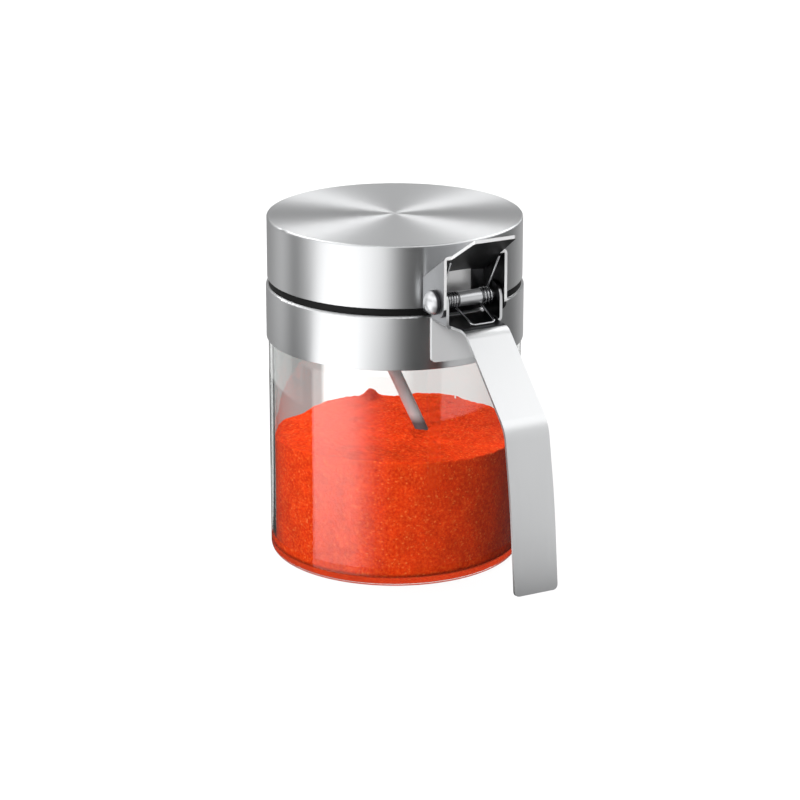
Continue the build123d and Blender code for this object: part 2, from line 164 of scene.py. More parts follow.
floor_material, tree, out = start_material("White_studio_floor")
paint = add(tree, "BsdfDiffuse", {"Color": linear("666666")})
rays = add(tree, "LightPath").outputs
seen = add(tree, "Math", {0: rays["Is Camera Ray"], 1: rays["Is Transmission Ray"]}, operation="MAXIMUM")
lift = add(tree, "Math", {0: seen.outputs[0], 1: camera_lift}, operation="MULTIPLY")
glow = add(tree, "Emission", {"Color": WHITE, "Strength": lift.outputs[0]})
both = add(tree, "AddShader", {0: paint.outputs[0], 1: glow.outputs[0]})
tree.links.new(both.outputs[0], out.inputs["Surface"])

bm = bmesh.new()
bmesh.ops.create_grid(bm, x_segments=1, y_segments=1, size=floor_half)
bmesh.ops.translate(bm, verts=bm.verts, vec=(0, 0, -floor_drop))
floor = object_from(bm, "floor", floor_material, smooth=False)

sky = bpy.data.worlds.new("studio_sky")
sky.use_nodes = True
bpy.context.scene.world = sky
tree = sky.node_tree
tree.nodes.clear()
rays = add(tree, "LightPath").outputs
white = add(tree, "Background", {"Color": WHITE, "Strength": 1})
soft = add(tree, "Background", {"Color": WHITE, "Strength": sky_strength})
seen = add(tree, "Math", {0: rays["Is Camera Ray"], 1: rays["Is Transmission Ray"]}, operation="MAXIMUM")
either = add(tree, "MixShader", {0: seen.outputs[0], 1: soft.outputs[0], 2: white.outputs[0]})
add(tree, "OutputWorld", {0: either.outputs[0]})
print("floor faces", len(floor.data.polygons), "sky strength", sky_strength)

# %% [markdown]
# The lamps: one large soft lamp high on the left gives the powder its bright left and its shaded right, and a
# weak one overhead fills in from above. A lamp low on the left brightens the powder's left edge, and one low
# behind the jar shines through the empty glass onto the powder's top. Two more stand behind, left and right,
# and draw the light diagonals on the turned lid. Only these two show in reflections, because any other would
# put a second mark on the lid.

# %% Lamps
lamp_aim = 60 * MM


def lamp(name, turn, rise, distance, size, power, in_reflections):
    """A square soft lamp, turn degrees to the right of the camera and rise degrees up."""
    turn, rise = math.radians(turn), math.radians(rise)
    way = camera_side * math.cos(turn) * math.cos(rise) + camera_right * math.sin(turn) * math.cos(rise)
    way.z = math.sin(rise)
    data = bpy.data.lights.new(name, "AREA")
    data.size = size
    data.energy = power
    made = bpy.data.objects.new(name, data)
    made.location = Vector((0, 0, lamp_aim)) + way * distance
    made.rotation_euler = way.to_track_quat("Z", "Y").to_euler()
    made.visible_camera = False
    made.visible_glossy = in_reflections
    made.visible_transmission = False
    bpy.context.scene.collection.objects.link(made)
    print(name, "at", [round(c, 2) for c in made.location], "watts", power)


lamp("key_lamp", -27, 31, 1.1, 0.6, 20, False)
lamp("top_lamp", 0, 88, 1.2, 0.8, 4, False)
lamp("left_low_lamp", -100, 20, 1.2, 0.5, 4, False)
lamp("back_low_lamp", 175, 22, 1.2, 0.5, 20, False)
lamp("left_back_lamp", -135, 42, 1.2, 0.6, 4.2, True)
lamp("right_back_lamp", 135, 42, 1.2, 0.6, 4.2, True)

# %% [markdown]
# ## Cards around the jar
# A mirror shows its surroundings, and this collar and lid are nearly one. Cards could be lit by lamps, as in
# a real studio, but they would then light the jar as well, so here they glow and only reflections see them.
# Straight behind the jar they would also show through the glass, so there a ray that has gone through glass
# passes them by. That stretch is 38 mm to each side at the jar, and widens by half its distance behind it.

# %% How a card glows, and only in reflections
behind_half = 38 * MM
behind_widening = 0.51
# Light Path counts bounces in whole numbers, so anything over a half is at least one
any_bounce = 0.5


def card_glow(tree, out, colour, strength):
    """A card that glows in reflections. Straight behind the jar, rays that came through glass pass it by."""
    glow = add(tree, "Emission", {"Color": colour, "Strength": strength})
    nothing = add(tree, "BsdfTransparent")
    path = add(tree, "LightPath").outputs
    place = add(tree, "TexCoord").outputs["Object"]
    toward = add(tree, "VectorMath", {0: place, 1: camera_side}, operation="DOT_PRODUCT").outputs["Value"]
    aside = add(tree, "VectorMath", {0: place, 1: camera_right}, operation="DOT_PRODUCT").outputs["Value"]
    aside = add(tree, "Math", {0: aside}, operation="ABSOLUTE").outputs[0]
    behind = add(tree, "Math", {0: toward, 1: 0}, operation="LESS_THAN").outputs[0]
    spread = add(tree, "Math", {0: toward, 1: behind_widening, 2: aside}, operation="MULTIPLY_ADD")
    straight = add(tree, "Math", {0: spread.outputs[0], 1: behind_half}, operation="LESS_THAN").outputs[0]
    behind = add(tree, "Math", {0: behind, 1: straight}, operation="MULTIPLY").outputs[0]
    bent = add(tree, "Math", {0: path["Transmission Depth"], 1: any_bounce}, operation="GREATER_THAN")
    passed = add(tree, "Math", {0: behind, 1: bent.outputs[0]}, operation="MULTIPLY").outputs[0]
    mirrored = add(tree, "Math", {0: path["Glossy Depth"], 1: any_bounce}, operation="GREATER_THAN")
    left = {0: mirrored.outputs[0], 1: passed}
    shown = add(tree, "Math", left, operation="SUBTRACT", use_clamp=True).outputs[0]
    either = add(tree, "MixShader", {0: shown, 1: nothing.outputs[0], 2: glow.outputs[0]})
    tree.links.new(either.outputs[0], out.inputs["Surface"])


def reflections_only(card):
    """Keeps a card out of the picture and out of the light."""
    card.visible_camera = False
    card.visible_diffuse = False
    card.visible_shadow = False
    print(card.name, "faces", len(card.data.polygons))


def level_way(degrees):
    """The level direction so many degrees to the right of the camera."""
    turn = math.radians(degrees)
    return camera_right * math.sin(turn) + camera_side * math.cos(turn)


def band_card(name, material, turns, rows, steps, smooth=True):
    """A card bent round the jar, between two turns. Its two rows are (reach, height)."""
    bm = bmesh.new()
    bmesh.ops.create_grid(bm, x_segments=steps, y_segments=1, size=1)
    for point in bm.verts:
        way = level_way(turns[0] + (turns[1] - turns[0]) * (point.co.x + 1) / 2)
        reach, height = rows[0 if point.co.y < 0 else 1]
        point.co = way * reach + Vector((0, 0, height))
    reflections_only(object_from(bm, name, material, smooth=smooth))


tenth = 100 * MM
print("100 mm behind, it reaches", round((behind_half + tenth * behind_widening) / MM), "mm to each side")

# %% [markdown]
# A ring of card stands 200 mm away, with white, grey and black stretches one after another. It could be a
# dozen separate cards, but one ring with a colour ramp round it has soft edges and its tones are easy to
# shift. The numbers are turns in degrees to the right of the camera, with how bright the card is there. A
# ramp holds no colour over 1, so the tones go in halved and the glow doubles them.

# %% The ring of cards that the steel reflects
ring_radius = 200 * MM
ring_height = 140 * MM
ring_gain = 2
ring_tones = [
    (-180, 0.45), (-158, 0.32), (-138, 0.34), (-124, 0.48), (-111, 0.64), (-101, 0.50), (-93, 0.30),
    (-86, 0.38), (-78, 0.70), (-68, 1.20), (-58, 1.55), (-30, 1.62), (-18, 1.60), (-10, 1.45), (-3, 1.00),
    (3, 0.50), (9, 0.20), (16, 0.08), (26, 0.08), (31, 0.30), (37, 0.90), (58, 0.90), (70, 0.60),
    (84, 0.22), (100, 0.14), (115, 0.18), (130, 0.34), (150, 0.50), (180, 0.45),
]
card_material, tree, out = start_material("Matt_studio_card")
place = add(tree, "TexCoord").outputs["Object"]
turned = add(tree, "Mapping", {"Vector": place, "Rotation": (0, 0, math.pi / 2 - camera_turn)})
parts = add(tree, "SeparateXYZ", {0: turned.outputs[0]})
turn = add(tree, "Math", {0: parts.outputs["Y"], 1: parts.outputs["X"]}, operation="ARCTAN2")
along = add(tree, "MapRange", {"Value": turn.outputs[0], "From Min": -math.pi, "From Max": math.pi})
ring_stops = [(t / 360 + 0.5, (v / ring_gain, v / ring_gain, v / ring_gain, 1)) for t, v in ring_tones]
tones = add(tree, "ValToRGB", {0: along.outputs[0]}, stops=ring_stops)
card_glow(tree, out, tones.outputs[0], ring_gain)

bm = bmesh.new()
bmesh.ops.create_cone(bm, segments=128, radius1=ring_radius, radius2=ring_radius, depth=ring_height)
bmesh.ops.translate(bm, verts=bm.verts, vec=(0, 0, ring_height / 2))
reflections_only(object_from(bm, "card_ring", card_material))

# %% [markdown]
# Above the ring, a wide white canopy hangs over the camera from left to right. The rounded rim of the lid
# shows it as one thin bright line, and the sloping part of the handle shows it as a white face. A grey
# ceiling over the jar fills the rest of the turned top.

# %% The canopy over the camera and the ceiling over the jar
canopy_glow = 1.5
canopy_turns = (-120, 120)
canopy_rows = [(430 * MM, 300 * MM), (300 * MM, 520 * MM)]
ceiling_glow = 0.55
ceiling_foot = 2
ceiling_hole = 0.3
ceiling_depth = 1.2
ceiling_middle = 1.25

canopy_material, tree, out = start_material("White_canopy_card")
card_glow(tree, out, WHITE, canopy_glow)
band_card("canopy", canopy_material, canopy_turns, canopy_rows, 48)

ceiling_material, tree, out = start_material("Grey_ceiling_card")
card_glow(tree, out, WHITE, ceiling_glow)
bm = bmesh.new()
bmesh.ops.create_cone(bm, segments=64, radius1=ceiling_foot, radius2=ceiling_hole, depth=ceiling_depth)
bmesh.ops.translate(bm, verts=bm.verts, vec=(0, 0, ceiling_middle))
reflections_only(object_from(bm, "ceiling", ceiling_material))

# %% [markdown]
# Glass reflects about a twelfth of what it faces, and here it faces the table, because the camera looks down
# on it. The table is dark to reflections, so that the powder keeps its full red, and so is a low skirt at the
# foot of the ring. The dark table card is a ring itself, with a hole for the jar: under the jar it would show
# as a dark band in the glass floor.

# %% The dark table card and its skirt
dark_glow = 0.05
dark_gap = 0.5 * MM
dark_lift = 0.1 * MM
skirt_turns = (-85, 26)
skirt_reach = ring_radius - 1 * MM
skirt_height = 16 * MM
wall_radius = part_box("glass_jar")[1].x

dark_material, tree, out = start_material("Dark_table_card")
card_glow(tree, out, WHITE, dark_glow)
bm = bmesh.new()
start = bm.verts.new((wall_radius + dark_gap, 0, dark_lift))
edge = bmesh.ops.extrude_vert_indiv(bm, verts=[start])["verts"][0]
edge.co.x = ring_radius
bmesh.ops.spin(bm, geom=bm.verts[:] + bm.edges[:], axis=(0, 0, 1), angle=math.tau, steps=96, use_merge=True)
reflections_only(object_from(bm, "dark_table_card", dark_material, smooth=False))
band_card("dark_skirt_card", dark_material, skirt_turns, [(skirt_reach, 0), (skirt_reach, skirt_height)], 24)

# %% [markdown]
# One bright card lies on the dark table, and the glass shows it as the pale band on the left of the powder. A
# reflection off a round wall leaves along a line that turns twice as far as the wall, so the card's sides
# follow such lines, and its image in the glass gets upright edges. How bright it is at each point is written
# on the mesh as an attribute, since a plain gradient can't fade in both directions.

# %% The bright card that the glass shows
card_columns = [
    (-40.6, 1.9), (-36, 2.05), (-28, 2.1), (-21, 1.9), (-17, 1.35),
    (-14, 0.9), (-9, 0.32), (-4, 0.12), (0, 0.05),
]
card_lift = 0.3 * MM
card_rows = [
    (8 * MM, card_lift, 0.62), (80 * MM, card_lift, 0.95),
    (155 * MM, card_lift, 1.1), (155 * MM, 20 * MM, 1.1),
]
bright_material, tree, out = start_material("Bright_table_card")
level = add(tree, "Attribute", attribute_name="level")
card_glow(tree, out, WHITE, level.outputs["Fac"])

bm = bmesh.new()
bmesh.ops.create_grid(bm, x_segments=len(card_columns) - 1, y_segments=len(card_rows) - 1, size=1)
level_layer = bm.verts.layers.float.new("level")
for point in bm.verts:
    column = round((point.co.x + 1) / 2 * (len(card_columns) - 1))
    row = round((point.co.y + 1) / 2 * (len(card_rows) - 1))
    degrees, tone = card_columns[column]
    reach, height, share = card_rows[row]
    point[level_layer] = tone * share
    point.co = level_way(degrees) * wall_radius + level_way(2 * degrees) * reach + Vector((0, 0, height))
reflections_only(object_from(bm, "bright_table_card", bright_material, smooth=False))

# %% [markdown]
# The end of the handle shows the table beside the ring, and there it is pale. The glass would show that card
# too, from further away, so it is pale only for rays that have come less than 119 mm.

# %% A pale table card for the end of the handle
pale_reach_limit = 119 * MM
pale_turns = (34, 68)
pale_rows = [(155 * MM, card_lift), (199 * MM, card_lift)]
pale_glow = 0.85

pale_material, tree, out = start_material("Pale_table_card")
travelled = add(tree, "LightPath").outputs["Ray Length"]
near = add(tree, "Math", {0: travelled, 1: pale_reach_limit}, operation="LESS_THAN")
level = add(tree, "MapRange", {"Value": near.outputs[0], "To Min": dark_glow, "To Max": pale_glow})
card_glow(tree, out, WHITE, level.outputs[0])
band_card("pale_table_card", pale_material, pale_turns, pale_rows, 16, smooth=False)

# %% [markdown]
# What shows through the empty part of the glass is whatever stands behind it. In the photograph that is a
# grey edge on the left, white in the middle and pale grey on the right, so a small card with those three
# tones stands behind the jar, and only rays that have gone through glass see it. It glows with those tones,
# as no lamp lights it, and its grey edge is a painted reflection in the glass.

# %% The card behind the glass
behind_width = 120 * MM
behind_height = 50 * MM
behind_reach = 75 * MM
grey, pale, light = (0.43,) * 3 + (1,), (0.82,) * 3 + (1,), (1.2,) * 3 + (1,)
behind_stops = [(0.0, grey), (0.27, grey), (0.285, light), (0.5, light), (0.56, pale)]

behind_material, tree, out = start_material("Grey_card_behind")
place = add(tree, "TexCoord").outputs["Object"]
turned = add(tree, "Mapping", {"Vector": place, "Rotation": (0, 0, -camera_turn)})
across = add(tree, "SeparateXYZ", {0: turned.outputs[0]}).outputs["X"]
along = add(tree, "MapRange", {"Value": across, "From Min": -behind_width / 2, "From Max": behind_width / 2})
tones = add(tree, "ValToRGB", {0: along.outputs[0]}, stops=behind_stops)
# The card glows: a painted backdrop, with a painted reflection at its grey edge
glow = add(tree, "Emission", {"Color": tones.outputs[0], "Strength": 1})
tree.links.new(glow.outputs[0], out.inputs["Surface"])

bm = bmesh.new()
bmesh.ops.create_grid(bm, x_segments=1, y_segments=1, size=0.5)
bmesh.ops.scale(bm, verts=bm.verts, vec=(behind_width, behind_height, 1))
bmesh.ops.rotate(bm, verts=bm.verts, matrix=Matrix.Rotation(math.pi / 2, 3, "X"))
bmesh.ops.rotate(bm, verts=bm.verts, matrix=Matrix.Rotation(camera_turn, 3, "Z"))
bmesh.ops.translate(bm, verts=bm.verts, vec=camera_side * -behind_reach + Vector((0, 0, behind_height / 2)))
behind = object_from(bm, "card_behind", behind_material, smooth=False)
behind.visible_camera = False
behind.visible_diffuse = False
behind.visible_glossy = False
behind.visible_shadow = False
print(behind.name, "faces", len(behind.data.polygons))

# %% [markdown]
# ## Spun stainless steel: lid and collar
# The cap and the collar are drawn from sheet and then turned against an abrasive, so the scratches run
# round and round. Across them a highlight spreads into a fan, and along them it stays sharp. That is what
# anisotropy does: its tangent points across the scratches here, outwards on the top and upwards on the side.
# Real scratches are a tenth as wide. They are drawn 0.3 mm apart, about one pixel, so that they show.

# %% The spun finish
groove_pitch = 0.3 * MM
spun_steel, tree, out = start_material("Spun_stainless_steel")
place = add(tree, "TexCoord").outputs["Object"]
flat = add(tree, "VectorMath", {0: place, 1: (1, 1, 0)}, operation="MULTIPLY").outputs[0]
radius = add(tree, "VectorMath", {0: flat}, operation="LENGTH").outputs["Value"]
height = add(tree, "SeparateXYZ", {0: place}).outputs["Z"]
across = add(tree, "Math", {0: radius, 1: height}, operation="ADD").outputs[0]
grooves = add(tree, "TexNoise", {"W": across, "Scale": 1 / groove_pitch, "Detail": 3}, noise_dimensions="1D")
normal = add(tree, "NewGeometry").outputs["Normal"]
up = add(tree, "SeparateXYZ", {0: normal}).outputs["Z"]
top_share = add(tree, "MapRange", {"Value": up, "From Min": 0.6, "From Max": 0.95}).outputs[0]
grain = add(tree, "MapRange", {"Value": grooves.outputs[0], "To Min": 0.27, "To Max": 0.35}).outputs[0]
top_grain = add(tree, "MapRange", {"Value": grooves.outputs[0], "To Min": 0.42, "To Max": 0.5}).outputs[0]
rough = add(tree, "Mix", {0: top_share, 2: grain, 3: top_grain}).outputs[0]
bumps = add(tree, "Bump", {"Height": grooves.outputs[0], "Strength": 0.06, "Distance": 0.05 * MM})
around = add(tree, "VectorMath", {0: (0, 0, 1), 1: place}, operation="CROSS_PRODUCT").outputs[0]
around = add(
    tree, "VectorTransform", {0: around}, vector_type="VECTOR", convert_from="OBJECT", convert_to="WORLD"
).outputs[0]
tangent = add(tree, "VectorMath", {0: around, 1: normal}, operation="CROSS_PRODUCT").outputs[0]
steel = add(
    tree,
    "BsdfPrincipled",
    {
        "Base Color": linear("D9DADB"),
        "Metallic": 1,
        "Roughness": rough,
        "Anisotropic": 0.85,
        "Tangent": tangent,
        "Normal": bumps.outputs[0],
    },
)
tree.links.new(steel.outputs[0], out.inputs["Surface"])
finish_nodes(spun_steel, "lid_shell", "collar_shell")

# %% [markdown]
# ## Brushed strip: the handle
# The handle is one strip, brushed along its length and nearly white. The insides of its tray are a painted
# shade: they are painted dark, since they face each other and lie in shade. They could be a second material
# on chosen faces, but the imported mesh may not change, so the finish asks each face where it lies and which
# way it looks. Each row of the table below is one Math node, on the values named in it. The brush lines are
# drawn wider than real ones, so that they show.

# %% The brushed handle, with painted shade inside its tray
brush_length = 18 * MM
brush_width = 0.3 * MM
tray_end = 57.5 * MM
tray_floor = 88 * MM
squarely = 0.7
nearly_level = 0.6


def own_normal(tree):
    """The normal in the object's frame, so that a finish stays on its face when the piece turns."""
    normal = add(tree, "NewGeometry").outputs["Normal"]
    return add(
        tree, "VectorTransform", {0: normal}, vector_type="NORMAL", convert_from="WORLD", convert_to="OBJECT"
    ).outputs[0]


satin_steel, tree, out = start_material("Brushed_stainless_strip")
place = add(tree, "TexCoord").outputs["Object"]
brushing = (1 / brush_length, 1 / brush_width, 1 / brush_length)
stretched = add(tree, "Mapping", {"Vector": place, "Scale": brushing})
lines = add(tree, "TexNoise", {"Vector": stretched.outputs[0], "Scale": 1, "Detail": 2})
grain = add(tree, "MapRange", {"Value": lines.outputs[0], "To Min": 0.28, "To Max": 0.4}).outputs[0]
bumps = add(tree, "Bump", {"Height": lines.outputs[0], "Strength": 0.1, "Distance": 0.05 * MM})
across = add(tree, "SeparateXYZ", {0: place}).outputs
facing = add(tree, "SeparateXYZ", {0: own_normal(tree)}).outputs
marks = {
    "x": across["X"], "y": across["Y"], "z": across["Z"],
    "facing_y": facing["Y"], "facing_z": facing["Z"],
}
for name, operation, first, second in (
    ("to_either_side", "ABSOLUTE", "facing_y", 0),
    ("sideways", "GREATER_THAN", "to_either_side", squarely),
    ("high", "GREATER_THAN", "z", tray_floor),
    ("raised", "MULTIPLY", "high", "sideways"),
    ("outward", "MULTIPLY", "facing_y", "y"),
    ("inward", "LESS_THAN", "outward", 0),
    ("inside_ears", "MULTIPLY", "raised", "inward"),
    ("outside_ears", "SUBTRACT", "raised", "inside_ears"),
    ("before_bend", "LESS_THAN", "x", tray_end),
    ("upward", "GREATER_THAN", "facing_z", nearly_level),
    ("on_tray", "MULTIPLY", "upward", "before_bend"),
    ("inside", "MAXIMUM", "inside_ears", "on_tray"),
):
    inputs = {0: marks[first], 1: marks.get(second, second)}
    marks[name] = add(tree, "Math", inputs, operation=operation).outputs[0]
ear_tone = {0: marks["outside_ears"], 6: linear("DCDDDE"), 7: linear("A2A3A5")}
tone = add(tree, "Mix", ear_tone, data_type="RGBA").outputs[2]
# Painted shade: the insides of the tray, where they face each other, are painted dark grey
tone = add(tree, "Mix", {0: marks["inside"], 6: tone, 7: linear("505052")}, data_type="RGBA").outputs[2]
steel = add(
    tree,
    "BsdfPrincipled",
    {"Base Color": tone, "Metallic": 1, "Roughness": grain, "Normal": bumps.outputs[0]},
)
tree.links.new(steel.outputs[0], out.inputs["Surface"])
finish_nodes(satin_steel, "handle")

# %% [markdown]
# ## Pickled sheet: the bracket
# The bracket is stamped from sheet that keeps its dull grey skin outside. Inside its folds, where shade falls,
# it is painted dark, a painted shade. Every face that is neither skin nor inside, its cut edges and its back
# flange among them, is painted near white with less metal: real cut edges are bright, and this adds a painted
# highlight on them and on the flange. The skin's faces are found in the same way as those of the tray. The web
# slopes, so its faces are told by how far they look along the web's own upward direction.

# %% The stamped bracket: dull skin, painted shade in its folds, painted highlight on edges and flange
skin_cloud = 2.5 * MM
web_slope = math.radians(32.5)
web_up = (-math.sin(web_slope), 0, math.cos(web_slope))
ear_start = 9.2 * MM
skin_steel, tree, out = start_material("Pickled_steel_sheet")
place = add(tree, "TexCoord").outputs["Object"]
cloud = add(tree, "TexNoise", {"Vector": place, "Scale": 1 / skin_cloud, "Detail": 4})
across = add(tree, "SeparateXYZ", {0: place}).outputs["Y"]
normal = own_normal(tree)
facing = add(tree, "SeparateXYZ", {0: normal}).outputs["Y"]
along_web = add(tree, "VectorMath", {0: normal, 1: web_up}, operation="DOT_PRODUCT").outputs["Value"]
marks = {"y": across, "facing_y": facing, "along_web": along_web}
for name, operation, first, second in (
    ("from_middle", "ABSOLUTE", "y", 0),
    ("at_ear", "GREATER_THAN", "from_middle", ear_start),
    ("to_either_side", "ABSOLUTE", "facing_y", 0),
    ("sideways", "GREATER_THAN", "to_either_side", squarely),
    ("on_ear", "MULTIPLY", "sideways", "at_ear"),
    ("outward", "MULTIPLY", "facing_y", "y"),
    ("inward", "LESS_THAN", "outward", 0),
    ("inside_ear", "MULTIPLY", "on_ear", "inward"),
    ("under_web", "LESS_THAN", "along_web", -squarely),
    ("over_web", "GREATER_THAN", "along_web", squarely),
    ("inside", "MAXIMUM", "inside_ear", "under_web"),
    ("skin", "MAXIMUM", "on_ear", "over_web"),
):
    inputs = {0: marks[first], 1: marks.get(second, second)}
    marks[name] = add(tree, "Math", inputs, operation=operation).outputs[0]
# Painted highlight: faces that are not skin, the cut edges and the back flange, are painted near white
skin_or_highlight_tone = {0: marks["skin"], 6: linear("F4F4F4"), 7: linear("A8A9AB")}
tone = add(tree, "Mix", skin_or_highlight_tone, data_type="RGBA").outputs[2]
# Painted shade: the insides of the ears and the web's underside are painted dark grey
tone = add(tree, "Mix", {0: marks["inside"], 6: tone, 7: linear("48484A")}, data_type="RGBA").outputs[2]
# Less metal on the painted highlight faces, so that they stay near white
metal = add(tree, "MapRange", {"Value": marks["skin"], "To Min": 0.6, "To Max": 1}).outputs[0]
grain = add(tree, "MapRange", {"Value": cloud.outputs[0], "To Min": 0.3, "To Max": 0.4}).outputs[0]
bumps = add(tree, "Bump", {"Height": cloud.outputs[0], "Strength": 0.02, "Distance": 0.1 * MM})
steel = add(
    tree,
    "BsdfPrincipled",
    {"Base Color": tone, "Metallic": metal, "Roughness": grain, "Normal": bumps.outputs[0]},
)
tree.links.new(steel.outputs[0], out.inputs["Surface"])
finish_nodes(skin_steel, "lid_bracket")

# %% [markdown]
# ## Blasted steel: the plate on the collar
# Blasting with fine beads leaves small pits in every direction, so the plate looks an even pale grey from all
# sides and shows no bands. A little less metal and a rough surface give that. The pits are drawn coarser than
# real ones.

# %% The blasted plate
pit_size = 0.3 * MM
blasted_steel, tree, out = start_material("Blasted_steel_plate")
place = add(tree, "TexCoord").outputs["Object"]
cloud = add(tree, "TexNoise", {"Vector": place, "Scale": 1 / pit_size, "Detail": 4})
grain = add(tree, "MapRange", {"Value": cloud.outputs[0], "To Min": 0.42, "To Max": 0.52}).outputs[0]
bumps = add(tree, "Bump", {"Height": cloud.outputs[0], "Strength": 0.05, "Distance": 0.05 * MM})
steel = add(
    tree,
    "BsdfPrincipled",
    {"Base Color": linear("DCDDDE"), "Metallic": 0.45, "Roughness": grain, "Normal": bumps.outputs[0]},
)
tree.links.new(steel.outputs[0], out.inputs["Surface"])
finish_nodes(blasted_steel, "mount_plate")

# %% [markdown]
# ## Turned steel: rivet, sleeve and screw
# These come bright from the lathe. The rivet's head is domed, and where it turns down to the ear its rim lies
# in shade. The soft studio light is too even to cast that shadow, so it is painted: a painted shade darkens
# the finish by how far a point lies from the rivet's axis. The tone stops just past the head, so that it stays
# off the other pieces of this steel.

# %% Rivet, sleeve and screw
turned_cloud = 0.5 * MM
rim_start_share = 0.94
rim_full_share = 0.99
rim_end_share = 1.01
turned_steel, tree, out = start_material("Turned_bright_steel")
place = add(tree, "TexCoord").outputs["Object"]
cloud = add(tree, "TexNoise", {"Vector": place, "Scale": 1 / turned_cloud, "Detail": 4})
grain = add(tree, "MapRange", {"Value": cloud.outputs[0], "To Min": 0.26, "To Max": 0.36}).outputs[0]
bumps = add(tree, "Bump", {"Height": cloud.outputs[0], "Strength": 0.05, "Distance": 0.03 * MM})
pin_low, pin_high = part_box("hinge_pin")
pin_middle = (pin_low + pin_high) / 2
head_reach = (pin_high.x - pin_low.x) / 2
from_axis = add(tree, "VectorMath", {0: place, 1: pin_middle}, operation="SUBTRACT").outputs[0]
from_axis = add(tree, "VectorMath", {0: from_axis, 1: (1, 0, 1)}, operation="MULTIPLY").outputs[0]
reach = add(tree, "VectorMath", {0: from_axis}, operation="LENGTH").outputs["Value"]
rim_start, rim_full = head_reach * rim_start_share, head_reach * rim_full_share
rim = add(tree, "MapRange", {"Value": reach, "From Min": rim_start, "From Max": rim_full}).outputs[0]
near_head = add(tree, "Math", {0: reach, 1: head_reach * rim_end_share}, operation="LESS_THAN").outputs[0]
rim = add(tree, "Math", {0: rim, 1: near_head}, operation="MULTIPLY").outputs[0]
# Painted shade: the rim of the rivet's head is painted dark grey
tone = add(tree, "Mix", {0: rim, 6: linear("CCCDCF"), 7: linear("3C3C3E")}, data_type="RGBA").outputs[2]
steel = add(
    tree,
    "BsdfPrincipled",
    {"Base Color": tone, "Metallic": 0.8, "Roughness": grain, "Normal": bumps.outputs[0]},
)
tree.links.new(steel.outputs[0], out.inputs["Surface"])
finish_nodes(turned_steel, "hinge_pin", "spring_sleeve", "holder_screw")

# %% [markdown]
# ## Satin steel: the spoon
# The stem is polished and then rubbed dull. It is seen through glass, which makes it pale and soft, and where
# it goes into the powder it is painted darker, a painted shade. A gradient over 3 mm of height does that.

# %% The spoon, with painted shade at its foot
painted_shade_below = 43 * MM
unshaded_above = 46 * MM
spoon_cloud = 0.4 * MM
spoon_steel, tree, out = start_material("Satin_spoon_steel")
place = add(tree, "TexCoord").outputs["Object"]
cloud = add(tree, "TexNoise", {"Vector": place, "Scale": 1 / spoon_cloud, "Detail": 3})
grain = add(tree, "MapRange", {"Value": cloud.outputs[0], "To Min": 0.4, "To Max": 0.5}).outputs[0]
height = add(tree, "SeparateXYZ", {0: place}).outputs["Z"]
unshaded = add(tree, "MapRange", {"Value": height, "From Min": painted_shade_below, "From Max": unshaded_above})
# Painted shade: below the powder's level the stem is painted dark slate
foot_shade_tone = {0: unshaded.outputs[0], 6: linear("5C6166"), 7: linear("CBD9DE")}
tone = add(tree, "Mix", foot_shade_tone, data_type="RGBA").outputs[2]
steel = add(tree, "BsdfPrincipled", {"Base Color": tone, "Metallic": 0.15, "Roughness": grain})
tree.links.new(steel.outputs[0], out.inputs["Surface"])
finish_nodes(spoon_steel, "spoon")

# %% [markdown]
# ## Moulded plastic and silicone
# The plug under the lid, the threaded ring and the spoon's socket are moulded polypropylene: white, waxy and
# faintly uneven where the mould was. The seal between lid and collar is black silicone, which drinks light
# and shows as a black line, and the gasket on the glass is the same rubber without the black.

# %% Moulded plastic
mould_cloud = 0.8 * MM
white_plastic, tree, out = start_material("White_polypropylene")
place = add(tree, "TexCoord").outputs["Object"]
cloud = add(tree, "TexNoise", {"Vector": place, "Scale": 1 / mould_cloud, "Detail": 3})
grain = add(tree, "MapRange", {"Value": cloud.outputs[0], "To Min": 0.38, "To Max": 0.5}).outputs[0]
bumps = add(tree, "Bump", {"Height": cloud.outputs[0], "Strength": 0.05, "Distance": 0.05 * MM})
plastic = add(
    tree,
    "BsdfPrincipled",
    {"Base Color": linear("EDEDEA"), "Roughness": grain, "IOR": 1.49, "Normal": bumps.outputs[0]},
)
tree.links.new(plastic.outputs[0], out.inputs["Surface"])
finish_nodes(white_plastic, "lid_liner", "thread_ring", "spoon_holder")

# %% Silicone, black and clear
rubber_cloud = 0.6 * MM
for material_name, colour, index, least, most, node in (
    ("Black_silicone_rubber", "050505", 1.3, 0.5, 0.65, "lid_seal"),
    ("Translucent_silicone_rubber", "E4E4DE", 1.41, 0.35, 0.5, "neck_gasket"),
):
    silicone, tree, out = start_material(material_name)
    place = add(tree, "TexCoord").outputs["Object"]
    cloud = add(tree, "TexNoise", {"Vector": place, "Scale": 1 / rubber_cloud, "Detail": 3})
    grain = add(tree, "MapRange", {"Value": cloud.outputs[0], "To Min": least, "To Max": most}).outputs[0]
    rubber = add(tree, "BsdfPrincipled", {"Base Color": linear(colour), "Roughness": grain, "IOR": index})
    tree.links.new(rubber.outputs[0], out.inputs["Surface"])
    finish_nodes(silicone, node)

# %% [markdown]
# ## Soda-lime glass
# Clear jar glass has an index of 1.5. Light from the lamps has to reach the powder through it, and glass
# bends that light in a way that takes very long to work out, so for such rays the glass counts as empty.
# Where the weight of the powder leaves no film of air, on the jar's floor and just above it, the inner face
# of the glass doesn't mirror, and the red reaches down to the jar's edge.

